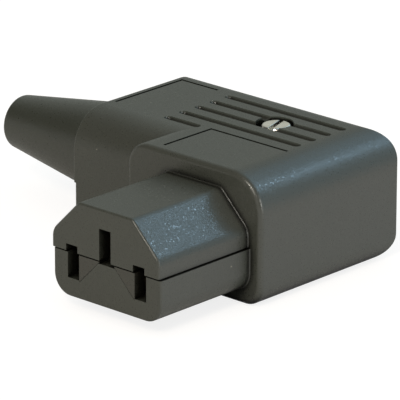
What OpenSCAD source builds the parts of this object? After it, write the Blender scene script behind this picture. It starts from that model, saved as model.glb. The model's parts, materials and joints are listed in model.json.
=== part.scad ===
// Right-angle rewireable appliance connector with three female contacts.
// The contact nose points to -Y and the cable sleeve to -X, and the part rests on Z = 0.
// The origin lies on the underside, where the nose's centre plane crosses the cable's axis.

/* [Housing] */
// Height of the closed housing
body_height = 21.1; // [19.5:0.1:26]
// Height of the parting plane above the underside
seam_height = 9.4; // [8.8:0.1:11.5]
// Distance from the nose's centre plane to the cable end
body_left = 29.8; // [28:0.1:36]
// Distance from the nose's centre plane to the closed end
body_right = 13.4; // [13:0.1:16]
// Depth of the cable section, front to back, centred on the cable
cable_section_depth = 28.3; // [27:0.1:34]
// Distance from the cable's axis to the front face of the block behind the nose
block_reach = 18.1; // [17.5:0.1:22]
// Distance from the nose's centre plane to the block's cable side
block_left = 14.3; // [13.4:0.1:17]
// Wall thickness of the two shells
body_wall = 1.8; // [1.4:0.1:2.2]

/* [Housing corners] */
// Top corner at the closed end
end_top_r = 6.3; // [3:0.1:7]
// Top corner of the block at its cable side
block_top_r = 4; // [2.5:0.1:5]
// Bottom corners of the block, left and right
block_bottom_r = 3.4; // [2.5:0.1:4.5]
// Front top corner of the cable section
front_top_r = 6.5; // [3:0.1:7]
// Front bottom corner of the cable section
front_bottom_r = 5.6; // [3:0.1:6.5]
// Top corner along the back
back_top_r = 3.4; // [2.5:0.1:4.5]
// Bottom corner along the back
back_bottom_r = 5.6; // [3:0.1:6.5]
// Rounding of the edges around the block's front face
front_edge_r = 0.9; // [0.4:0.1:1]
// Rounding of the upright edge at the back of the closed end
back_edge_r = 0.5; // [0.3:0.1:1]
// Rounding of the edges around the cable end
cable_edge_r = 0.3; // [0.2:0.1:0.8]

/* [Nose] */
// Length of the nose in front of the block
nose_length = 19.8; // [18:0.1:24]
// Width of the nose
nose_width = 22.4; // [21.8:0.1:24]
// Height of the nose above the parting plane
nose_rise = 8.5; // [8.3:0.1:10]
// Depth of the nose below the parting plane
nose_drop = 7.15; // [6.8:0.05:8]
// Width of the flat between the two long chamfers
nose_flat = 11.2; // [10.4:0.1:12]
// Rounding of the corners under the chamfers
nose_side_r = 2.5; // [1.8:0.1:3]
// Rounding of the corners beside the flat
nose_flat_r = 1.2; // [0.8:0.1:2]
// Rounding of the nose's bottom corners
nose_bottom_r = 3.3; // [2.4:0.1:4.4]
// Rounding of the edge around the nose's end
nose_edge_r = 0.4; // [0.2:0.1:0.7]
// Fillet where the nose leaves the block
root_r = 0.25; // [0.2:0.05:0.9]
// Wall thickness around the nose
nose_wall = 1.5; // [1.2:0.1:1.6]
// Thickness of the nose's slotted end
face_wall = 2; // [1.5:0.1:2.5]

/* [Seam] */
// Open joint between the shells along the nose; the rest of their rims meet
seam_gap = 0.2; // [0.1:0.05:0.4]
// Thickness of the lower shell's lip
lip_thickness = 0.6; // [0.4:0.05:0.7]
// Height of the lip above the parting plane
lip_height = 1; // [0.6:0.1:1.2]
// How far the upper shell's cable end and nose stand off the lower shell's, away from the closed end
cover_shift = 0.35; // [0:0.05:0.4]

/* [Contacts] */
// Distance between the line and neutral contacts
contact_pitch = 14; // [13.8:0.1:14.2]
// Height of the earth contact's centre above the parting plane
earth_rise = 2.65; // [2.5:0.05:2.9]
// Depth of the line and neutral contacts' centres below the parting plane
line_drop = 1.4; // [1.2:0.05:1.5]
// Height of the contact slots
slot_height = 5.4; // [4.6:0.1:5.4]
// Width of the contact slots
slot_width = 2.4; // [2.2:0.1:2.6]
// Width of a contact's folded socket
socket_width = 3; // [2.8:0.1:3.1]
// Height of a contact's folded socket
socket_height = 5; // [4.6:0.1:5.1]
// Thickness of the contact strip
strip = 0.5; // [0.3:0.05:0.6]
// Opening between the springs of a socket at rest
spring_gap = 1.4; // [1:0.1:1.8]
// Distance from the nose's end wall to the contacts
contact_setback = 1.5; // [0.2:0.1:3]
// Length of the free springs
spring_length = 8.5; // [7:0.5:9]
// Length of the folded part behind the springs
fold_length = 5.5; // [4:0.5:6]
// Width of the flat tail that reaches into the terminal
tail_width = 2.2; // [1.8:0.1:2.4]

/* [Contact carrier] */
// Thickness of the carrier's flange behind the block's front wall
carrier_flange = 1.4; // [1:0.1:1.8]
// How far that flange overlaps the wall
flange_overlap = 1.2; // [0.8:0.1:1.3]
// Length of the legs of the wedges between the slots
toe_leg = 4.3; // [2.5:0.1:4.9]
// Visible joint beside those wedges
toe_joint = 0.05; // [0.05:0.05:0.2]
// Step down of the lower shell's front wall between the wedges
sill_drop = 0.3; // [0.1:0.05:0.5]

/* [Terminals] */
// Width of a terminal block
terminal_width = 5; // [4.6:0.1:5.2]
// Length of a terminal block along the contact
terminal_length = 7; // [6:0.1:7.5]
// Height of a terminal block
terminal_height = 6.4; // [6:0.1:6.6]
// Floor of a terminal block under the contact's tail
terminal_floor = 1.2; // [0.8:0.1:1.4]
// Rounding of a terminal block's long edges
terminal_edge_r = 0.4; // [0.2:0.1:0.6]
// Diameter of the wire hole
wire_hole_d = 2.6; // [2:0.1:2.8]
// Diameter of the terminal screws' thread
terminal_screw_d = 2.6; // [2.2:0.1:3]
// Length of the terminal screws' thread
terminal_screw_length = 4.5; // [4:0.1:4.6]
// Diameter of the terminal screws' head
terminal_head_d = 4.4; // [4:0.1:4.6]
// Thickness of the walls between the terminals
partition = 1.6; // [1.2:0.1:1.7]
// Height of those walls above the parting plane
partition_rise = 3; // [1:0.5:5]

/* [Cable entry] */
// Height of the cable's axis above the parting plane
cable_rise = 1; // [0.6:0.1:1.4]
// Diameter of the hole for the cable
cable_hole_d = 6.8; // [6:0.1:7]
// Length of the sleeve outside the housing
sleeve_length = 25.8; // [20:0.1:34]
// Diameter of the sleeve at the housing
sleeve_root_d = 16.8; // [15:0.1:17.4]
// Diameter of the sleeve near its free end
sleeve_tip_d = 8.8; // [8.6:0.1:11]
// Rounding of the sleeve's free end
sleeve_tip_r = 0.8; // [0.4:0.1:0.9]
// Diameter of the sleeve's neck in the end wall
neck_d = 12.8; // [12:0.1:13]
// Diameter of the sleeve's hidden flange
flange_d = 15.4; // [14.6:0.1:15.6]
// Thickness of the sleeve's hidden flange
flange_thickness = 1.6; // [1.2:0.1:2]
// Diameter of the sleeve's inner end
spigot_d = 10.8; // [10:0.1:11.4]
// Thickness of the cross wall behind the flange
cross_wall = 1.2; // [1:0.1:1.5]

/* [Cord grip] */
// Distance from the nose's centre plane to the cord grip
grip_x = 19.6; // [19:0.1:20]
// Width of the strap along the cable
strap_width = 5.4; // [5:0.1:6]
// Thickness of the strap
strap_thickness = 1.9; // [1.4:0.1:2]
// Distance between the two strap screws
grip_pitch = 16.8; // [16.4:0.1:17]
// Width of the posts that hold the nuts, along the cable
post_width = 7.4; // [7.2:0.1:7.6]
// Depth of the saddle under the cable
saddle_depth = 1.6; // [1:0.1:2]

/* [Screws and nuts] */
// Thread diameter of the cover and strap screws
screw_d = 3; // [2.5:0.1:3]
// Length of the cover screw's thread
cover_screw_length = 16; // [15:0.5:16]
// Length of the strap screws' thread
strap_screw_length = 10; // [8:0.5:10]
// Head diameter of the cover screw
cover_head_d = 4.8; // [4.4:0.1:5]
// Head diameter of the strap screws
strap_head_d = 5.2; // [4.8:0.1:5.4]
// Height of every screw head
head_height = 1.8; // [1.4:0.1:1.9]
// Rounding of the heads' upper edge
head_edge_r = 0.5; // [0.2:0.1:0.6]
// Width of the driver slot in each head
driver_slot = 0.8; // [0.6:0.1:1]
// Direction of the cover screw's driver slot, from the nose's axis
driver_turn = 17; // [0:1:179]
// Width across a square nut
nut_size = 5.5; // [5:0.1:5.5]
// Thickness of a square nut
nut_thickness = 1.8; // [1.4:0.1:2.2]
// Place of the cover screw beyond the nose's centre plane
cover_screw_x = -3.1; // [-4:0.1:-2]
// Place of the cover screw behind the cable's axis
cover_screw_y = 3.8; // [3:0.1:4.5]
// Depth of the cover screw's head below the top face
head_sunk = 0.2; // [0:0.1:0.5]

/* [Top face] */
// Width of the grip grooves
groove_width = 1.5; // [1.4:0.1:1.8]
// Depth of the round-bottomed grip grooves
groove_depth = 0.7; // [0.4:0.05:0.7]
// Distance between neighbouring grooves
groove_pitch = 3.55; // [3.2:0.05:3.7]
// Place of the rearmost groove behind the cable's axis
groove_back = 8.4; // [8:0.1:8.8]
// Cable end of the grooves
groove_left = -18; // [-19:0.1:-16]
// Closed end of the grooves
groove_right = 7.2; // [5:0.1:7.6]
// Length of the short groove beside the block
short_groove = 7.4; // [5:0.1:9]
// Width of the fine lines that frame the plain fields
line_width = 0.5; // [0.3:0.05:0.6]
// Depth of those lines
line_depth = 0.25; // [0.15:0.05:0.4]
// Distance from the cable end to the rear field's frame
rear_frame_inset = 0.9; // [0.6:0.1:1.5]
// Distance from the rearmost groove's axis to the rear field's frame
rear_frame_offset = 1.4; // [1.2:0.1:1.6]
// Length of the rear field's frame along the grooves
rear_frame_length = 7.6; // [5:0.1:9]
// Distance from the short groove's end to the front field's frame
front_frame_gap = 2.1; // [1.6:0.1:3]
// Distance from the long grooves' last axis to the front field's frame
front_frame_offset = 3.15; // [2.8:0.05:3.5]

/* [Clearances] */
// Gap between plastic parts that fit into each other
plastic_fit = 0.15; // [0.1:0.05:0.2]
// Gap around metal parts in plastic pockets
pocket_fit = 0.15; // [0.1:0.05:0.2]
// Gap around a screw's thread in its nut or block
thread_fit = 0.05; // [0.03:0.01:0.08]
// Gap around a screw that passes through
clearance_fit = 0.4; // [0.3:0.05:0.5]
// Gap around the cover screw's head
recess_fit = 0.6; // [0.4:0.05:0.7]

/* [Hidden] */
$fn = 48;

over = 0.5;
reach = 80;
frame_margin = 2.2;
cove_spread = 1.03;

half_depth = cable_section_depth / 2;
face_y = -block_reach - nose_length;
cable_z = seam_height + cable_rise;
roof_z = body_height - body_wall;
cover_z = seam_height + seam_gap;
lip_top = seam_height + lip_height;
groove_r = (groove_width * groove_width / 4 + groove_depth * groove_depth) / (2 * groove_depth);
nose_floor_z = seam_height - nose_drop;
nose_roof_z = seam_height + nose_rise;

line_z = seam_height - line_drop;
earth_z = seam_height + earth_rise;
line_x = contact_pitch / 2;
inner_face_y = face_y + face_wall;
inner_front_y = -block_reach + body_wall;
flange_front_y = inner_front_y + plastic_fit;
carrier_back_y = flange_front_y + carrier_flange;
chamber_width = socket_width + 2 * pocket_fit;
chamber_height = socket_height + 2 * pocket_fit;
contact_front_y = inner_face_y + contact_setback;
bend_r = 2 * strip;

terminal_front_y = carrier_back_y + 2 * plastic_fit;
terminal_back_y = terminal_front_y + terminal_length;
terminal_mid_y = (terminal_front_y + terminal_back_y) / 2;
terminal_low = -socket_height / 2 - terminal_floor;
terminal_high = terminal_low + terminal_height;
tail_slot = strip + 2 * thread_fit;
tail_end_y = terminal_back_y - 1;
wire_hole_z = -socket_height / 2 + tail_slot + wire_hole_d / 2 - 0.3;
wire_hole_top = wire_hole_z + wire_hole_d / 2;
partition_x = line_x / 2;

nut_slot = nut_thickness + 2 * pocket_fit;
nut_pocket = nut_size + 2 * pocket_fit;
nut_run = nut_pocket + 2;
cover_nut_z = 3.4;
cover_seat_z = body_height - head_sunk - head_height;
recess_r = cover_head_d / 2 + recess_fit;
boss_r = recess_r + cover_shift + 0.6;
cover_post = nut_pocket + 1.8;

strap_z = cable_z + 0.3;
strap_nut_z = 5.2;
strap_seat_z = strap_z + strap_thickness;
strap_screw_y = grip_pitch / 2;
strap_post_y = strap_screw_y - nut_pocket / 2 - 0.6;

sleeve_face_x = -body_left - cover_shift;
flange_back_x = -body_left + body_wall + flange_thickness + 2 * plastic_fit;
spigot_end_x = flange_back_x + cross_wall + 0.8;

shell_colour = "#3c3e3b";
carrier_colour = "#454744";
rubber_colour = "#33352f";
nickel_colour = "#c9c6bd";
brass_colour = "#c8a858";
steel_colour = "#b8babc";

// Convex outlines are counter-clockwise lists of corners, each [x, y, corner radius].
function at(c, i) = c[(i + len(c)) % len(c)];
function spot(c, i) = [at(c, i)[0], at(c, i)[1]];
function radius(c, i) = at(c, i)[2];
function heading(c, i) = let (d = spot(c, i + 1) - spot(c, i)) d / norm(d);
function bend(c, i) = acos(heading(c, i - 1) * heading(c, i));
function setback(c, i) = radius(c, i) * tan(bend(c, i) / 2);
function arc_start(c, i) = spot(c, i) - heading(c, i - 1) * setback(c, i);
function arc_end(c, i) = spot(c, i) + heading(c, i) * setback(c, i);
function left_of(d) = [-d[1], d[0]];
function arc_centre(c, i) = arc_start(c, i) + left_of(heading(c, i - 1)) * radius(c, i);
function straight(c, i) = norm(arc_start(c, i + 1) - arc_end(c, i));
function outward(d) = atan2(-d[0], d[1]);
function inner_r(r, inset) = max(r - inset, 0);

// Corners of the block seen from the front, drawn in by inset, its cable side moved out by shift
function block_corners(inset, shift = 0) = [
    [-block_left - shift + inset, inset, inner_r(block_bottom_r, inset)],
    [body_right - inset, inset, inner_r(block_bottom_r, inset)],
    [body_right - inset, body_height - inset, inner_r(end_top_r, inset)],
    [-block_left - shift + inset, body_height - inset, inner_r(block_top_r, inset)]];

// Corners of the cable section seen along the cable; its back is cut by the back outline
function cable_corners(inset) = [
    [-half_depth + inset, inset, inner_r(front_bottom_r, inset)],
    [half_depth + over, inset, 0],
    [half_depth + over, body_height - inset, 0],
    [-half_depth + inset, body_height - inset, inner_r(front_top_r, inset)]];

// Corners of the whole body's back seen along the cable
function back_corners(inset) = [
    [-block_reach - over, inset, 0],
    [half_depth - inset, inset, inner_r(back_bottom_r, inset)],
    [half_depth - inset, body_height - inset, inner_r(back_top_r, inset)],
    [-block_reach - over, body_height - inset, 0]];

// Corners of the cable end's outer edge, seen from the sleeve
function cable_end_corners() = [
    [-half_depth, 0, back_bottom_r],
    [half_depth, 0, front_bottom_r],
    [half_depth, body_height, front_top_r],
    [-half_depth, body_height, back_top_r]];

// Corners of the nose's right half seen from the front, from the middle of its underside
function nose_corners(inset) =
    let (side = nose_width / 2 - inset,
         low = nose_floor_z + inset,
         high = nose_roof_z - inset,
         diagonal = nose_flat / 2 + nose_roof_z - inset * sqrt(2))
    [[-over, low, 0],
     [side, low, inner_r(nose_bottom_r, inset)],
     [side, diagonal - side, inner_r(nose_side_r, inset)],
     [diagonal - high, high, inner_r(nose_flat_r, inset)],
     [-over, high, 0]];

// A filled outline with true arcs at its corners
module outline(c) {
    polygon([for (i = [0:len(c) - 1]) each
        radius(c, i) > 0 ? [arc_start(c, i), arc_end(c, i)] : [spot(c, i)]]);
    for (i = [0:len(c) - 1])
        if (radius(c, i) > 0)
            translate(arc_centre(c, i)) circle(radius(c, i));
}

// Follows an outline in steps, each placed on the end of the one before it. A step is a
// straight of length $run and an arc of $radius through $turn; x points outward, y ahead.
module follow(c, steps, i = 0) {
    $run = straight(c, i);
    $radius = radius(c, i + 1);
    $turn = bend(c, i + 1);
    children();
    if (i < steps - 1)
        translate([-$radius, $run]) rotate($turn) translate([$radius, 0])
            follow(c, steps, i + 1) children();
}

module along(c, steps) {
    translate(arc_end(c, 0)) rotate(outward(heading(c, 0))) follow(c, steps) children();
}

// Carries a small profile along an outline: its x points outward, its y off the drawing
module along_outline(c, steps) {
    along(c, steps) {
        translate([0, $run, 0]) rotate([90, 0, 0]) linear_extrude($run) children();
        if ($radius > 0)
            translate([-$radius, $run, 0])
                rotate_extrude(angle = $turn) translate([$radius, 0]) children();
    }
}

// Everything outside a step's straight and arc
module trim() {
    translate([0, -2 * reach]) square([2 * reach, 4 * reach]);
    if ($radius > 0)
        translate([-$radius, $run]) difference() {
            polygon([[0, 0], [reach, 0], reach * [cos($turn), sin($turn)]]);
            circle($radius);
        }
}

// Profile of the waste outside a rounded edge
module round_over(r) {
    difference() {
        translate([-r, -r]) square(r + over);
        translate([-r, -r]) circle(r);
    }
}

// Profile of the filling in a hollow corner, which meets both faces at a slight angle
module cove(r) {
    difference() {
        translate([-over, -over]) square(r + over);
        translate([r, r]) circle(r * cove_spread);
    }
}

// Stands a drawing of X and Z upright and runs it from front to back
module along_y(front, back) {
    translate([0, back, 0]) rotate([90, 0, 0]) linear_extrude(back - front) children();
}

// Stands a drawing of Y and Z upright and runs it from left to right
module along_x(left, right) {
    translate([left, 0, 0]) rotate([90, 0, 90]) linear_extrude(right - left) children();
}

// Lays a profile around the block's front face, its thickness towards the front
module around_block(y, shift) {
    translate([0, y, 0]) rotate([90, 0, 0])
        along_outline(block_corners(0, shift), len(block_corners(0))) children();
}

// Lays a profile around the cable end's outer edge, its thickness towards the sleeve
module around_cable_end(shift) {
    translate([-body_left - shift, 0, 0]) rotate([90, 0, -90])
        along_outline(cable_end_corners(), len(cable_end_corners())) children();
}

// The nose's two halves
module halves() {
    for (side = [0, 1])
        mirror([side, 0, 0]) children();
}

// Lays a profile around the nose, its thickness towards the front
module around_nose(y) {
    translate([0, y, 0]) rotate([90, 0, 0])
        halves() along_outline(nose_corners(0), len(nose_corners(0)) - 1) children();
}

// Box from its lowest corner to its highest
module span(from, to) {
    translate(from) cube(to - from);
}

// Everything between two heights
module layer(low, high) {
    span([-reach, -reach, low], [reach, reach, high]);
}

// Round hole along the cable's axis
module cable_hole(d, left, right) {
    translate([left, 0, cable_z]) rotate([0, 90, 0]) cylinder(h = right - left, d = d);
}

// The block behind the nose and the cable section beside it, drawn in by inset. Their sides
// towards the sleeve are moved out by shift.
module body_solid(inset, shift = 0) {
    intersection() {
        union() {
            along_y(-block_reach + inset, half_depth + over) outline(block_corners(inset, shift));
            along_x(-body_left - shift + inset, 0) outline(cable_corners(inset));
        }
        along_x(-body_left - shift - over, body_right + over) outline(back_corners(inset));
    }
}

// The nose, drawn in by inset at its sides
module nose_solid(inset, front, back) {
    corners = nose_corners(inset);
    along_y(front, back) halves() difference() {
        translate([-over, -reach]) square([reach, 2 * reach]);
        along(corners, len(corners) - 1) trim();
    }
}

// The closed housing's outer form, its cable end and nose moved towards the sleeve by shift
module outside(shift) {
    difference() {
        body_solid(0, shift);
        around_block(-block_reach, shift) round_over(front_edge_r);
        around_cable_end(shift) round_over(cable_edge_r);
        translate([body_right, half_depth, -over])
            linear_extrude(body_height + 2 * over) round_over(back_edge_r);
    }
    translate([-shift, 0, 0]) {
        difference() {
            nose_solid(0, face_y, -block_reach + over);
            around_nose(face_y) round_over(nose_edge_r);
        }
        around_nose(-block_reach) cove(root_r);
    }
}

// The room inside the shells' walls, with every wall thinned by the given amount
module inside(thinned) {
    body_solid(body_wall - thinned);
    nose_solid(nose_wall - thinned, inner_face_y, inner_front_y + over);
}

// Where the lip runs: not across the nose's end and not beside the cable's entry
module lip_range(top) {
    difference() {
        layer(seam_height - over, top);
        span([nose_wall - nose_width / 2, face_y - over, 0],
             [nose_width / 2 - nose_wall, inner_face_y + over, body_height]);
        span([-body_left - over, -half_depth, 0],
             [flange_back_x + cross_wall + over / 2, half_depth, body_height]);
    }
}

module contact_slot(x, z) {
    span([x - slot_width / 2, face_y - over, z - slot_height / 2],
         [x + slot_width / 2, inner_face_y + over, z + slot_height / 2]);
}

module contact_slots() {
    for (side = [-1, 1])
        contact_slot(side * line_x, line_z);
    contact_slot(0, earth_z);
}

// Opening over the lower shell's front wall between the wedges
module sill() {
    half = line_x - slot_width / 2 - toe_leg + sill_drop;
    span([-half, face_y - over, seam_height - sill_drop], [half, inner_face_y + over, cover_z]);
}

// Wedges between the slots that reach through the nose's end
module toes(joint) {
    slot_edge = line_x - slot_width / 2;
    for (side = [0, 1])
        mirror([side, 0, 0])
            along_y(face_y - (joint > 0 ? over : 0), inner_face_y + over)
                polygon([[slot_edge - toe_leg - joint * 2, seam_height + joint],
                         [slot_edge, seam_height - toe_leg - joint * 2],
                         [slot_edge, seam_height + joint]]);
}

// Cross wall behind the sleeve's flange
module sleeve_wall(low, high) {
    span([flange_back_x, -half_depth, low], [flange_back_x + cross_wall, half_depth, high]);
}

// Holes for the sleeve through the end wall and the cross wall
module sleeve_holes() {
    cable_hole(neck_d + 2 * plastic_fit, sleeve_face_x - over, -body_left + body_wall + over);
    cable_hole(spigot_d + 2 * plastic_fit, flange_back_x - over, spigot_end_x);
}

// Square pocket under a screw, open towards the closed end, with the hole for the screw's tip
module nut_cut(x, y, z, tip_z, top) {
    low = tip_z - clearance_fit;
    translate([x - nut_pocket / 2, y - nut_pocket / 2, z - pocket_fit])
        cube([nut_run, nut_pocket, nut_slot]);
    translate([x, y, low])
        cylinder(h = top + over - low, d = screw_d + 2 * clearance_fit);
}

// One round-bottomed groove with round ends in the top face
module groove(from, to, y) {
    run = to - from - groove_width;
    translate([from + groove_width / 2, y, body_height - groove_depth + groove_r])
        rotate([0, 90, 0]) rotate_extrude() intersection() {
            union() {
                circle(groove_r);
                translate([0, run]) circle(groove_r);
                square([groove_r, run]);
            }
            translate([0, -2 * groove_r]) square([2 * groove_r, run + 4 * groove_r]);
        }
}

module grooves() {
    for (i = [0:3])
        groove(groove_left, groove_right, groove_back - i * groove_pitch);
    groove(groove_left, groove_left + short_groove, groove_back - 4 * groove_pitch);
}

// Fine straight line in the top face, from one point to a farther one
module fine_line(from, to) {
    span([from[0] - line_width / 2, from[1] - line_width / 2, body_height - line_depth],
         [to[0] + line_width / 2, to[1] + line_width / 2, body_height + over]);
}

// The angled lines that frame the plain fields beside the grooves
module field_lines() {
    front_x = groove_left + short_groove + front_frame_gap;
    front_y = groove_back - 3 * groove_pitch - front_frame_offset;
    fine_line([front_x, -block_reach + frame_margin], [front_x, front_y]);
    fine_line([front_x, front_y], [groove_right, front_y]);
    rear_x = -body_left + rear_frame_inset;
    rear_y = groove_back + rear_frame_offset;
    fine_line([rear_x, -half_depth + front_top_r + frame_margin], [rear_x, rear_y]);
    fine_line([rear_x, rear_y], [rear_x + rear_frame_length, rear_y]);
}

// Rib under the upper shell's roof that keeps the terminals on their beds
module hold_down() {
    difference() {
        span([-line_x - terminal_width / 2, terminal_back_y - 1, line_z + terminal_high + plastic_fit],
             [line_x + terminal_width / 2, terminal_back_y, roof_z + over]);
        span([-line_x + terminal_width / 2, terminal_back_y - 1 - over, 0],
             [line_x - terminal_width / 2, terminal_back_y + over, earth_z + terminal_high + plastic_fit]);
    }
}

// What hangs inside the upper shell
module upper_fittings() {
    sleeve_wall(seam_height, body_height);
    hold_down();
    translate([cover_screw_x, cover_screw_y, seam_height])
        cylinder(h = body_height - seam_height, r = boss_r);
}

// What stands inside the lower shell
module lower_fittings() {
    sleeve_wall(0, seam_height);
    for (side = [-1, 1]) {
        terminal_bed(side * line_x, line_z + terminal_low);
        span([side * partition_x - partition / 2, carrier_back_y + plastic_fit, 0],
             [side * partition_x + partition / 2, terminal_back_y, seam_height + partition_rise]);
    }
    terminal_bed(0, earth_z + terminal_low);
    span([cover_screw_x - cover_post / 2, cover_screw_y - cover_post / 2, 0],
         [cover_screw_x + cover_post / 2, cover_screw_y + cover_post / 2, seam_height]);
    grip_posts();
}

module terminal_bed(x, top) {
    span([x - terminal_width / 2, carrier_back_y + plastic_fit, 0],
         [x + terminal_width / 2, terminal_back_y - 1, top]);
}

// Posts under the strap's ends, joined by the saddle under the cable
module grip_posts() {
    difference() {
        span([-grip_x - post_width / 2, -half_depth, 0], [-grip_x + post_width / 2, half_depth, strap_z]);
        span([-grip_x - reach, -strap_post_y, cable_z - saddle_depth],
             [-grip_x + reach, strap_post_y, strap_z + over]);
        for (side = [-1, 1])
            span([-grip_x + side * (post_width + strap_width) / 4 - 1, -strap_post_y, 0],
                 [-grip_x + side * (post_width + strap_width) / 4 + 1, strap_post_y, strap_z + over]);
        cable_hole(cable_hole_d + 2 * plastic_fit, -grip_x - post_width, -grip_x + post_width);
    }
}

// Screw with a slotted head whose underside lies at z = 0
module slotted_screw(d, length, head_d, turn) {
    tip = d / 10;
    difference() {
        rotate_extrude() {
            outline([[0, 0, 0], [head_d / 2, 0, 0], [head_d / 2, head_height, head_edge_r],
                     [0, head_height, 0]]);
            polygon([[0, -length], [d / 2 - tip, -length], [d / 2, tip - length],
                     [d / 2, over], [0, over]]);
        }
        rotate([0, 0, turn])
            span([-driver_slot / 2, -head_d, head_height / 2], [driver_slot / 2, head_d, head_height + over]);
    }
}

module square_nut() {
    r = nut_size / 2;
    difference() {
        linear_extrude(nut_thickness)
            outline([[-r, -r, 0.4], [r, -r, 0.4], [r, r, 0.4], [-r, r, 0.4]]);
        translate([0, 0, -over])
            cylinder(h = nut_thickness + 2 * over, d = screw_d + 2 * thread_fit);
    }
}

// Folded contact: two springs in front, a folded part behind them and a flat tail
module contact(x, z) {
    half = socket_width / 2;
    low = -socket_height / 2;
    fold_y = contact_front_y + spring_length;
    translate([x, 0, z]) {
        for (side = [0, 1])
            mirror([side, 0, 0])
                translate([0, 0, low + bend_r]) linear_extrude(socket_height - bend_r)
                    spring_plan(half);
        along_y(fold_y, fold_y + fold_length) difference() {
            outline([[-half, low, bend_r], [half, low, bend_r], [half, -low, 0], [-half, -low, 0]]);
            outline([[strip - half, low + strip, bend_r - strip], [half - strip, low + strip, bend_r - strip],
                     [half - strip, over - low, 0], [strip - half, over - low, 0]]);
        }
        span([-tail_width / 2, fold_y + fold_length - over, low],
             [tail_width / 2, tail_end_y, low + strip]);
    }
}

// One spring seen from above: flared mouth, pinch, then out to the folded part
module spring_plan(half) {
    mouth = half - strip;
    pinch = spring_gap / 2;
    pinch_y = contact_front_y + spring_length / 4;
    end_y = contact_front_y + spring_length;
    polygon([[mouth, contact_front_y], [half, contact_front_y], [pinch + strip, pinch_y],
             [half, end_y], [half, end_y + over], [mouth, end_y + over], [mouth, end_y],
             [pinch, pinch_y]]);
}

// Terminal block around a contact's tail
module terminal(x, z) {
    half = terminal_width / 2;
    translate([x, 0, z]) difference() {
        along_y(terminal_front_y, terminal_back_y)
            outline([[-half, terminal_low, terminal_edge_r], [half, terminal_low, terminal_edge_r],
                     [half, terminal_high, terminal_edge_r], [-half, terminal_high, terminal_edge_r]]);
        span([-tail_width / 2 - thread_fit, terminal_front_y - over, -socket_height / 2],
             [tail_width / 2 + thread_fit, terminal_back_y + over, tail_slot - socket_height / 2]);
        translate([0, terminal_back_y + over, wire_hole_z])
            rotate([90, 0, 0]) cylinder(h = terminal_length + 2 * over, d = wire_hole_d);
        translate([0, terminal_mid_y, wire_hole_z])
            cylinder(h = terminal_height, d = terminal_screw_d + 2 * thread_fit);
    }
}

// Terminal screw, backed out until the wire hole is free
module terminal_screw(x, z) {
    translate([x, terminal_mid_y, z + wire_hole_top + terminal_screw_length])
        slotted_screw(terminal_screw_d, terminal_screw_length, terminal_head_d, 0);
}

module strap_screw(side) {
    translate([-grip_x, side * strap_screw_y, strap_seat_z])
        slotted_screw(screw_d, strap_screw_length, strap_head_d, 90);
}

module strap_nut(side) {
    translate([-grip_x, side * strap_screw_y, strap_nut_z]) square_nut();
}

module upper_shell() {
    color(shell_colour) difference() {
        union() {
            difference() {
                difference() {
                    outside(cover_shift);
                    layer(-over, seam_height);
                    span([-reach, face_y - over, 0], [reach, -block_reach, cover_z]);
                }
                inside(0);
                intersection() {
                    inside(lip_thickness + plastic_fit);
                    lip_range(lip_top + plastic_fit);
                }
            }
            intersection() {
                body_solid(body_wall / 2);
                upper_fittings();
            }
        }
        translate([-cover_shift, 0, 0]) contact_slots();
        sleeve_holes();
        translate([cover_screw_x, cover_screw_y, 0])
            cylinder(h = body_height, d = screw_d + 2 * clearance_fit);
        translate([cover_screw_x - cover_shift, cover_screw_y, cover_seat_z])
            cylinder(h = body_height, r = recess_r);
        grooves();
        field_lines();
    }
}

module lower_shell() {
    color(shell_colour) difference() {
        union() {
            difference() {
                union() {
                    intersection() {
                        outside(0);
                        layer(-over, seam_height);
                    }
                    intersection() {
                        inside(lip_thickness);
                        lip_range(lip_top);
                    }
                }
                inside(0);
            }
            intersection() {
                lower_fittings();
                union() {
                    intersection() {
                        body_solid(body_wall / 2);
                        layer(-over, seam_height);
                    }
                    body_solid(body_wall + plastic_fit);
                }
            }
        }
        contact_slots();
        toes(toe_joint);
        sill();
        sleeve_holes();
        nut_cut(cover_screw_x, cover_screw_y, cover_nut_z, cover_seat_z - cover_screw_length, seam_height);
        for (side = [-1, 1])
            nut_cut(-grip_x, side * strap_screw_y, strap_nut_z, strap_seat_z - strap_screw_length, strap_z);
    }
}

module contact_carrier() {
    color(carrier_colour) difference() {
        union() {
            nose_solid(nose_wall + plastic_fit, inner_face_y, carrier_back_y);
            nose_solid(nose_wall - flange_overlap, flange_front_y, carrier_back_y);
            toes(0);
        }
        for (place = [[-line_x, line_z], [line_x, line_z], [0, earth_z]])
            span([place[0] - chamber_width / 2, inner_face_y, place[1] - chamber_height / 2],
                 [place[0] + chamber_width / 2, carrier_back_y + over, place[1] + chamber_height / 2]);
    }
}

module line_contact() {
    color(brass_colour) contact(line_x, line_z);
}

module neutral_contact() {
    color(brass_colour) contact(-line_x, line_z);
}

module earth_contact() {
    color(brass_colour) contact(0, earth_z);
}

module line_terminal() {
    color(brass_colour) terminal(line_x, line_z);
}

module neutral_terminal() {
    color(brass_colour) terminal(-line_x, line_z);
}

module earth_terminal() {
    color(brass_colour) terminal(0, earth_z);
}

module line_terminal_screw() {
    color(steel_colour) terminal_screw(line_x, line_z);
}

module neutral_terminal_screw() {
    color(steel_colour) terminal_screw(-line_x, line_z);
}

module earth_terminal_screw() {
    color(steel_colour) terminal_screw(0, earth_z);
}

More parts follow.
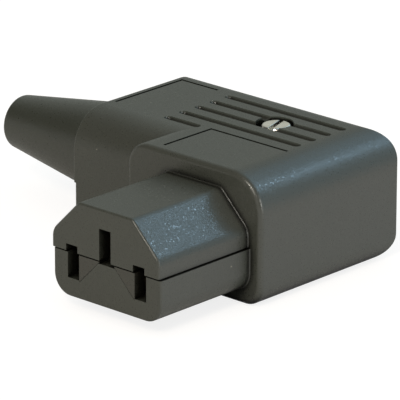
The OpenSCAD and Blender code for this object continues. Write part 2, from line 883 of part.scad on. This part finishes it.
module cord_strap() {
    rise = cable_hole_d / 2 + strap_thickness;
    color(carrier_colour) difference() {
        intersection() {
            along_x(-grip_x - strap_width / 2, -grip_x + strap_width / 2) {
                translate([-half_depth, strap_z]) square([cable_section_depth, strap_thickness]);
                translate([0, cable_z]) circle(rise);
            }
            translate([-grip_x, 0, strap_z]) linear_extrude(body_height) {
                square([strap_width, grip_pitch], center = true);
                for (side = [-1, 1])
                    translate([0, side * strap_screw_y]) circle(strap_width / 2);
            }
        }
        cable_hole(cable_hole_d + 2 * plastic_fit, -grip_x - strap_width, -grip_x + strap_width);
        for (side = [-1, 1])
            translate([-grip_x, side * strap_screw_y, 0])
                cylinder(h = body_height, d = screw_d + 2 * clearance_fit);
    }
}

module front_strap_screw() {
    color(steel_colour) strap_screw(-1);
}

module back_strap_screw() {
    color(steel_colour) strap_screw(1);
}

module front_strap_nut() {
    color(steel_colour) strap_nut(-1);
}

module back_strap_nut() {
    color(steel_colour) strap_nut(1);
}

module cover_screw() {
    color(nickel_colour)
        translate([cover_screw_x, cover_screw_y, cover_seat_z])
            slotted_screw(screw_d, cover_screw_length, cover_head_d, driver_turn);
}

module cover_nut() {
    color(steel_colour) translate([cover_screw_x, cover_screw_y, cover_nut_z]) square_nut();
}

module bend_sleeve() {
    color(rubber_colour) difference() {
        union() {
            translate([sleeve_face_x, 0, cable_z]) rotate([0, -90, 0]) rotate_extrude()
                outline([[0, 0, 0], [sleeve_root_d / 2, 0, 0],
                         [sleeve_tip_d / 2, sleeve_length, sleeve_tip_r], [0, sleeve_length, 0]]);
            cable_hole(neck_d, sleeve_face_x - over, flange_back_x - 2 * plastic_fit);
            cable_hole(flange_d, -body_left + body_wall + plastic_fit, flange_back_x - plastic_fit);
            cable_hole(spigot_d, -body_left, spigot_end_x);
        }
        cable_hole(cable_hole_d, sleeve_face_x - sleeve_length - over, spigot_end_x + over);
    }
}

upper_shell();
lower_shell();
contact_carrier();
line_contact();
neutral_contact();
earth_contact();
line_terminal();
neutral_terminal();
earth_terminal();
line_terminal_screw();
neutral_terminal_screw();
earth_terminal_screw();
cord_strap();
front_strap_screw();
back_strap_screw();
front_strap_nut();
back_strap_nut();
cover_screw();
cover_nut();
bend_sleeve();
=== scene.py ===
import json
import math

import bpy
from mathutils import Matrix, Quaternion, Vector


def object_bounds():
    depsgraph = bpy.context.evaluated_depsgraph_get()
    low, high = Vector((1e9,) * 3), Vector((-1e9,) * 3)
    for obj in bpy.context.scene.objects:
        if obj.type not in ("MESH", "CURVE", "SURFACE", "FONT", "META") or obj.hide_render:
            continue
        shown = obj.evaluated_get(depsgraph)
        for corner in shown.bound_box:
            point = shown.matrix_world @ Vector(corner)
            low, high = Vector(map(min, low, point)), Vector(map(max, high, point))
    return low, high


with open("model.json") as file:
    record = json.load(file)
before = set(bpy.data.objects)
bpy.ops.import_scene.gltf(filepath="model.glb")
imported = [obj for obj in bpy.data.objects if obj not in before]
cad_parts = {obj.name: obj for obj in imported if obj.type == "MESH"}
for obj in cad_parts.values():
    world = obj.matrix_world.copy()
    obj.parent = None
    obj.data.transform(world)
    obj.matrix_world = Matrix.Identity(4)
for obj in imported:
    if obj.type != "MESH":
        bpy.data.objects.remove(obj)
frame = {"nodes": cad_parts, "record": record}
cad_low, cad_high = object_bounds()

MM = 0.001
MIDDLE = (cad_low + cad_high) / 2

# Camera: the viewing angle, the lens, and the point looked at, measured from the middle of the object
AZIMUTH = math.radians(42.735)
ELEVATION = math.radians(19.341)
ROLL = math.radians(0.099)
FOCAL_LENGTH = 403.7
SENSOR_WIDTH = 36.0
DISTANCE = 707.92 * MM
AIM = MIDDLE + Vector((9.396, 7.571, -2.324)) * MM

# Ways from the middle of the object to the lamps
BEHIND_RIGHT = (0.42, 0.693, 0.58)
HIGH_BEHIND = (0.25, 0.693, 0.65)
FRONT = (0.336, -0.686, 0.645)
RIGHT = (0.95, 0.05, 0.20)

# Floor: half its width, its gap below the object, and half the width of the step in its reflected glow
FLOOR_REACH = 5.0
FLOOR_GAP = 0.02 * MM
GLOW_STEP = 6 * MM

# Patterns, by their number to a millimetre: the first four are on moulded surfaces, the others on metals
CLOUDS_PER_MM = 0.12
GRAIN_PER_MM = 5.0
CELLS_PER_MM = 6.0
DUST_PER_MM = 0.33
TARNISH_PER_MM = 0.8
MARKS_PER_MM = 9.0

# Relief: the depth of the grain and of the turning marks, and how round the edges of the metals look
GRAIN_DEPTH = 0.02 * MM
MARK_DEPTH = 0.01 * MM
EDGE_RADIUS = 0.15 * MM

# Cells: how far the small ones lean, how rough a polished one is, and the distances from the middle of
# a dust cell between which its speck fades out
CELL_LEAN = 0.1
POLISHED_ROUGHNESS = 0.15
SPECK_FADE = (0.025, 0.05)

# Hollows: how near its walls make a place part of a groove or a slot, the openness over which the
# painted shade of a slot fades out, and how far the painted highlight along the rims of the grooves
# reaches below the top
GROOVE_REACH = 1.2 * MM
SLOT_REACH = 5.0 * MM
SLOT_FADE = (0.35, 0.65)
RIM_HIGHLIGHT_DEPTH = 0.35 * MM


def link(obj):
    bpy.context.scene.collection.objects.link(obj)
    return obj


def direction(azimuth, elevation):
    """The way out from the object, by the angles that the views use."""
    return Vector((math.sin(azimuth) * math.cos(elevation),
                   -math.cos(azimuth) * math.cos(elevation),
                   math.sin(elevation)))


def place_facing(obj, target, out, distance, roll=0.0):
    """Puts a camera or lamp at a distance from its target, on the way out, and faces it back."""
    obj.location = target + out * distance
    obj.rotation_mode = "QUATERNION"
    obj.rotation_quaternion = (-out).to_track_quat("-Z", "Y") @ Quaternion((0, 0, 1), roll)


def make_camera():
    data = bpy.data.cameras.new("camera")
    data.lens = FOCAL_LENGTH
    data.sensor_width = SENSOR_WIDTH
    data.clip_start = 0.01
    data.clip_end = 100
    camera = link(bpy.data.objects.new("camera", data))
    place_facing(camera, AIM, direction(AZIMUTH, ELEVATION), DISTANCE, ROLL)
    bpy.context.scene.camera = camera


class Nodes:
    """A short way to write a node tree. Each input is a value or another node's output."""

    def __init__(self, tree):
        self.tree = tree
        tree.nodes.clear()

    def add(self, kind, settings=None, **inputs):
        """Adds a node with its inputs, and gives its outputs."""
        node = self.tree.nodes.new(kind)
        for name, value in (settings or {}).items():
            setattr(node, name, value)
        for name, value in inputs.items():
            socket = self.socket(node, name)
            if isinstance(value, bpy.types.NodeSocket):
                self.tree.links.new(value, socket)
            else:
                socket.default_value = value
        return node.outputs

    @staticmethod
    def socket(node, name):
        """The input called name, or numbered name after an underscore."""
        if name.startswith("_"):
            return node.inputs[int(name[1:])]
        return next(s for s in node.inputs if s.name.replace(" ", "_") == name and s.enabled)

    def math(self, operation, a, b):
        return self.add("ShaderNodeMath", {"operation": operation}, _0=a, _1=b)[0]

    def vector(self, operation, a, b=(0, 0, 0)):
        return self.add("ShaderNodeVectorMath", {"operation": operation}, _0=a, _1=b)[0]

    def scaled(self, vector, scale):
        return self.add("ShaderNodeVectorMath", {"operation": "SCALE"}, Vector=vector, Scale=scale)[0]

    def mix(self, factor, a, b):
        """The colour a where the factor is 0, and b where it is 1."""
        return self.add("ShaderNodeMix", {"data_type": "RGBA"}, _0=factor, _6=a, _7=b)[2]

    def ramp(self, value, low, high, at_low=0.0, at_high=1.0):
        """Goes evenly from at_low to at_high while the value goes from low to high, and stays there."""
        return self.add("ShaderNodeMapRange", {"clamp": True}, Value=value, From_Min=low, From_Max=high,
                        To_Min=at_low, To_Max=at_high)[0]

    def noise(self, place, scale, detail):
        return self.add("ShaderNodeTexNoise", Vector=place, Scale=scale, Detail=detail)["Fac"]

    def spread(self, noise, low, high):
        """A noise, which mostly lies from 0.3 to 0.7, spread over the range from low to high."""
        return self.ramp(noise, 0.3, 0.7, low, high)

    def axes(self, vector):
        """The X, Y and Z of a vector."""
        return self.add("ShaderNodeSeparateXYZ", Vector=vector)

    def bump(self, height, strength, depth, normal):
        return self.add("ShaderNodeBump", Height=height, Strength=strength, Distance=depth,
                        Normal=normal)[0]

    def openness(self, reach):
        """1 where nothing stands within reach of the surface, and less in a hollow."""
        return self.add("ShaderNodeAmbientOcclusion", {"samples": 8}, Distance=reach)["AO"]

    def diffuse(self, colour):
        return self.add("ShaderNodeBsdfDiffuse", Color=colour)[0]

    def emission(self, colour, strength):
        return self.add("ShaderNodeEmission", Color=colour, Strength=strength)[0]

    def background(self, colour, strength):
        return self.add("ShaderNodeBackground", Color=colour, Strength=strength)[0]

    def both(self, a, b):
        """Two shaders added together."""
        return self.add("ShaderNodeAddShader", _0=a, _1=b)[0]

    def by_ray(self, seen, mirrored, lit):
        """What the camera sees, what shows in metal, gloss and glass, and what lights the object."""
        path = self.add("ShaderNodeLightPath")
        is_mirrored = self.math("MAXIMUM", path["Is Glossy Ray"], path["Is Transmission Ray"])
        unseen = self.add("ShaderNodeMixShader", _0=is_mirrored, _1=lit, _2=mirrored)[0]
        return self.add("ShaderNodeMixShader", _0=path["Is Camera Ray"], _1=unseen, _2=seen)[0]


def linear(red, green, blue):
    """Turns a colour written as 0 to 255 into the renderer's own values."""
    def curve(part):
        part /= 255
        return part / 12.92 if part <= 0.04045 else ((part + 0.055) / 1.055) ** 2.4
    return (curve(red), curve(green), curve(blue), 1.0)


def new_material(name):
    material = bpy.data.materials.new(name)
    material.use_nodes = True
    return material, Nodes(material.node_tree)


def millimetres(nodes):
    """Places on the object, in millimetres."""
    return nodes.scaled(nodes.add("ShaderNodeTexCoord")["Object"], 1 / MM)


def picked(nodes, cells, share):
    """1 in a share of the cells, picked at random, and 0 in the others."""
    chance = nodes.add("ShaderNodeSeparateColor", Color=cells["Color"])[0]
    return nodes.math("GREATER_THAN", chance, 1 - share)


def clouded(nodes, place, grain, colour):
    """The colour, a little lighter and darker in wide flow clouds and in the grain."""
    clouds = nodes.noise(place, CLOUDS_PER_MM, detail=2.0)
    tone = nodes.math("ADD", nodes.spread(clouds, -0.03, 0.03), nodes.spread(grain, -0.04, 0.04))
    return nodes.add("ShaderNodeHueSaturation", Color=colour, Value=nodes.math("ADD", tone, 1.0))[0]


def dusted(nodes, place, base, specks):
    """The base with a pale speck in the middle of a share of the dust cells."""
    dust = linear(150, 148, 138)
    cells = nodes.add("ShaderNodeTexVoronoi", Vector=place, Scale=DUST_PER_MM)
    speck = nodes.ramp(cells["Distance"], *SPECK_FADE, at_low=1.0, at_high=0.0)
    speck = nodes.math("MULTIPLY", picked(nodes, cells, specks), speck)
    return nodes.mix(speck, base, dust)


def painted_hollow_shade(nodes, base, groove, slot):
    """The base with painted shade: darker in grooves and nearly black in slots."""
    # painted shade: the colour that slots fade to
    painted_slot_black = (0.004, 0.004, 0.003, 1)
    plain = nodes.math("MULTIPLY", nodes.ramp(groove, 0.6, 1.0), nodes.ramp(slot, *SLOT_FADE))
    return nodes.mix(plain, painted_slot_black, base)


def painted_rim_highlight(nodes, position, base, groove, slot):
    """The base with a painted highlight: paler rims along the grooves in the top of the object."""
    # colour of the painted highlight on the groove rims
    pale = linear(98, 108, 102)
    height = nodes.axes(position)["Z"]
    rim_highlight = nodes.ramp(height, cad_high.z - RIM_HIGHLIGHT_DEPTH, cad_high.z, at_low=0.0, at_high=0.5)
    rim_highlight = nodes.math("MULTIPLY", rim_highlight, nodes.ramp(slot, 0.6, 0.85, at_low=1.0, at_high=0.0))
    rim_highlight = nodes.math("MULTIPLY", rim_highlight, nodes.ramp(groove, 0.4, 0.6))
    return nodes.mix(rim_highlight, base, pale)


def faceted(nodes, place, normal, roughness, glints):
    """The roughness and the normal of small cells that lean all ways, a share of them polished."""
    cells = nodes.add("ShaderNodeTexVoronoi", Vector=place, Scale=CELLS_PER_MM)
    polished = picked(nodes, cells, glints)
    rough = nodes.ramp(polished, 0.0, 1.0, at_low=roughness, at_high=POLISHED_ROUGHNESS)
    lean = nodes.scaled(nodes.vector("SUBTRACT", cells["Color"], (0.5, 0.5, 0.5)), CELL_LEAN)
    return rough, nodes.vector("NORMALIZE", nodes.vector("ADD", normal, lean))


def moulded(name, colour, roughness, glints, specks):
    """Moulded plastic or rubber: grain, glinting cells, clouds, dust, painted hollow shade, painted rim
    highlights.
    """
    material, nodes = new_material(name)
    place = millimetres(nodes)
    surface = nodes.add("ShaderNodeNewGeometry")
    groove = nodes.openness(GROOVE_REACH)
    slot = nodes.openness(SLOT_REACH)
    grain = nodes.noise(place, GRAIN_PER_MM, detail=2.0)

    base = clouded(nodes, place, grain, colour)
    base = dusted(nodes, place, base, specks)
    # painted shade: darker in grooves and nearly black in slots
    base = painted_hollow_shade(nodes, base, groove, slot)
    # painted highlight: paler rims along the grooves near the top
    base = painted_rim_highlight(nodes, surface["Position"], base, groove, slot)
    rough, normal = faceted(nodes, place, surface["Normal"], roughness, glints)
    bump = nodes.bump(grain, strength=0.4, depth=GRAIN_DEPTH, normal=normal)
    # painted shade: less gloss in slots, over the same openness as their painted darkness
    gloss = nodes.ramp(slot, *SLOT_FADE, at_low=0.1, at_high=0.5)
    shader = nodes.add("ShaderNodeBsdfPrincipled", Base_Color=base, Roughness=rough, Normal=bump,
                       IOR=1.5, Specular_IOR_Level=gloss)[0]
    nodes.add("ShaderNodeOutputMaterial", Surface=shader)
    return material


def metal(name, colour, tarnish, roughness):
    """Plated or bare metal with fine turning marks and a thin, uneven tarnish."""
    material, nodes = new_material(name)
    place = millimetres(nodes)
    patches = nodes.noise(place, TARNISH_PER_MM, detail=5.0)
    marks = nodes.noise(place, MARKS_PER_MM, detail=3.0)

    base = nodes.mix(nodes.ramp(patches, 0.4, 0.75), colour, tarnish)
    rough = nodes.math("ADD", nodes.spread(patches, roughness - 0.05, roughness + 0.1),
                       nodes.spread(marks, -0.04, 0.04))
    rounded = nodes.add("ShaderNodeBevel", {"samples": 6}, Radius=EDGE_RADIUS)[0]
    bump = nodes.bump(marks, strength=0.3, depth=MARK_DEPTH, normal=rounded)
    shader = nodes.add("ShaderNodeBsdfPrincipled", Base_Color=base, Roughness=rough, Metallic=1.0,
                       Normal=bump)[0]
    nodes.add("ShaderNodeOutputMaterial", Surface=shader)
    return material


def make_finishes():
    """The finish of each material slot."""
    return {
        "shell_plastic": moulded("moulded_shell", linear(56, 59, 54),
                                 roughness=0.38, glints=0.045, specks=0.35),
        "carrier_plastic": moulded("moulded_carrier", linear(54, 55, 50),
                                   roughness=0.42, glints=0.04, specks=0.1),
        "sleeve_rubber": moulded("moulded_rubber", linear(48, 51, 45),
                                 roughness=0.34, glints=0.01, specks=0.2),
        "contact_brass": metal("spring_brass", (0.78, 0.58, 0.28, 1),
                               tarnish=(0.5, 0.36, 0.2, 1), roughness=0.3),
        "terminal_brass": metal("turned_brass", (0.75, 0.55, 0.27, 1),
                                tarnish=(0.48, 0.35, 0.2, 1), roughness=0.35),
        "zinc_steel": metal("zinc_plate", (0.66, 0.67, 0.68, 1),
                            tarnish=(0.5, 0.5, 0.48, 1), roughness=0.35),
        "bright_nickel": metal("nickel_plate", (0.97, 0.92, 0.85, 1),
                               tarnish=(0.75, 0.69, 0.60, 1), roughness=0.22)}


def finish_nodes():
    """Gives every CAD node the finish of its material slot."""
    finishes = make_finishes()
    for part in frame["record"]["subparts"]:
        node = frame["nodes"][part["node"]]
        for slot in node.material_slots:
            slot.material = finishes[part["material_slot"]]


def paper():
    """White to the camera but for the object's shadow, and paler in reflections at the closed end."""
    material, nodes = new_material("studio_floor")
    lit = nodes.diffuse((0.8, 0.8, 0.79, 1))
    white = nodes.emission((1, 1, 1, 1), strength=0.82)
    seen = nodes.both(nodes.diffuse((0.25, 0.25, 0.25, 1)), white)
    across = nodes.axes(nodes.add("ShaderNodeNewGeometry")["Position"])["X"]
    strength = nodes.ramp(across, cad_high.x - GLOW_STEP, cad_high.x + GLOW_STEP,
                          at_low=0.05, at_high=0.55)
    glow = nodes.emission((0.97, 1.0, 1.03, 1), strength)
    mirrored = nodes.both(nodes.diffuse((0.55, 0.55, 0.54, 1)), glow)
    nodes.add("ShaderNodeOutputMaterial", Surface=nodes.by_ray(seen, mirrored, lit))
    return material


def make_floor():
    mesh = bpy.data.meshes.new("floor")
    z = cad_low.z - FLOOR_GAP
    corners = [(-FLOOR_REACH, -FLOOR_REACH, z), (FLOOR_REACH, -FLOOR_REACH, z),
               (FLOOR_REACH, FLOOR_REACH, z), (-FLOOR_REACH, FLOOR_REACH, z)]
    mesh.from_pydata(corners, [], [(0, 1, 2, 3)])
    mesh.materials.append(paper())
    floor = link(bpy.data.objects.new("floor", mesh))


def tent(nodes, towards):
    """The light from all round: warm in front, cool behind and a little stronger on the right."""
    warm = (1.0, 0.93, 0.83, 1)
    cool = (0.92, 1.0, 1.03, 1)
    colour = nodes.mix(nodes.ramp(towards["Y"], -0.6, 0.6), warm, cool)
    return nodes.background(colour, nodes.ramp(towards["X"], 0.1, 0.8, at_low=0.74, at_high=0.83))


def room(nodes, towards):
    """What reflections show: a pale sky behind, and in front a dark room with a pale horizon."""
    dark = (0.04, 0.04, 0.04, 1)
    pale = (0.62, 0.62, 0.60, 1)
    green_sky = (0.44, 0.47, 0.43, 1)
    blue_sky = (0.53, 0.76, 0.90, 1)
    behind = nodes.ramp(towards["Y"], -0.15, 0.35)
    horizon = nodes.ramp(towards["Z"], 0.10, 0.22, at_low=1.0, at_high=0.0)
    horizon = nodes.math("MULTIPLY", horizon, nodes.math("SUBTRACT", 1.0, behind))
    in_front = nodes.mix(horizon, dark, pale)
    sky = nodes.mix(nodes.ramp(towards["X"], -0.5, -0.1), green_sky, blue_sky)
    return nodes.background(nodes.mix(behind, in_front, sky), strength=1.0)


def make_world():
    world = bpy.data.worlds.new("studio")
    bpy.context.scene.world = world
    world.use_nodes = True
    nodes = Nodes(world.node_tree)
    towards = nodes.axes(nodes.add("ShaderNodeTexCoord")["Generated"])
    white = nodes.background((1, 1, 1, 1), strength=1.0)
    surface = nodes.by_ray(white, room(nodes, towards), tent(nodes, towards))
    nodes.add("ShaderNodeOutputWorld", Surface=surface)


def make_lamp(name, way, distance, width, height, power, colour, lights):
    """A soft box that faces the object, and lights only its gloss or only its diffuse colour."""
    data = bpy.data.lights.new(name, "AREA")
    data.shape = "RECTANGLE"
    data.size = width
    data.size_y = height
    data.energy = power
    data.color = colour
    lamp = link(bpy.data.objects.new(name, data))
    lamp.visible_glossy = lights == "gloss"
    lamp.visible_diffuse = lights == "colour"
    place_facing(lamp, MIDDLE, Vector(way).normalized(), distance)


def light_scene():
    """A tent of light, a bluish window behind, a warm lamp in front and a pale one on the right."""
    make_world()
    make_lamp("window", BEHIND_RIGHT, distance=0.6, width=0.24, height=0.13, power=0.22,
              colour=(0.36, 0.70, 1.0), lights="gloss")
    make_lamp("window_core", BEHIND_RIGHT, distance=0.58, width=0.09, height=0.07, power=0.19,
              colour=(0.56, 0.80, 1.0), lights="gloss")
    make_lamp("window_wide", HIGH_BEHIND, distance=0.62, width=0.50, height=0.30, power=0.28,
              colour=(0.45, 0.75, 1.0), lights="gloss")
    make_lamp("key", FRONT, distance=0.8, width=0.16, height=0.16, power=3.6,
              colour=(1.0, 0.95, 0.85), lights="gloss")
    make_lamp("side", RIGHT, distance=0.8, width=0.12, height=0.16, power=2.3,
              colour=(1.0, 1.0, 0.95), lights="gloss")
    make_lamp("fill", FRONT, distance=0.8, width=0.2, height=0.2, power=3.0,
              colour=(1.0, 0.86, 0.70), lights="colour")


make_camera()
make_floor()
light_scene()
finish_nodes()

bpy.context.scene.view_settings.view_transform = "Standard"
